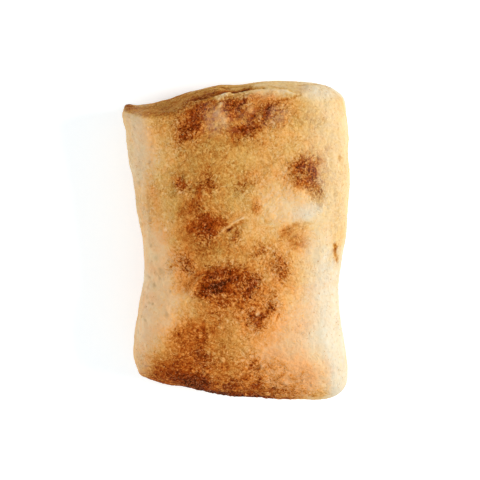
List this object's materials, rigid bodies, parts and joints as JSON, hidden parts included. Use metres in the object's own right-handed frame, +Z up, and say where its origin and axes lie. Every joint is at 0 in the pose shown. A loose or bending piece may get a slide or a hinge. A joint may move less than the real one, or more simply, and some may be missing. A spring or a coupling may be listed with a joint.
{
  "type": "sourdough ciabatta",
  "caption": "Small flat sourdough ciabatta with a scorched, floury golden crust, slightly waisted sides and one steep cut end.",
  "frame": {"origin": "on the surface the loaf rests on, under the middle of its outline", "axes": "+Z up, +Y along the loaf towards its cut end, +X across it"},
  "size_m": [0.0976, 0.1402, 0.048],
  "materials": {
    "crust": "matt baked crust, golden with browned spots and a dusting of flour"
  },
  "bodies": {
    "root": {"ciabatta": "crust"}
  },
  "joints": []
}
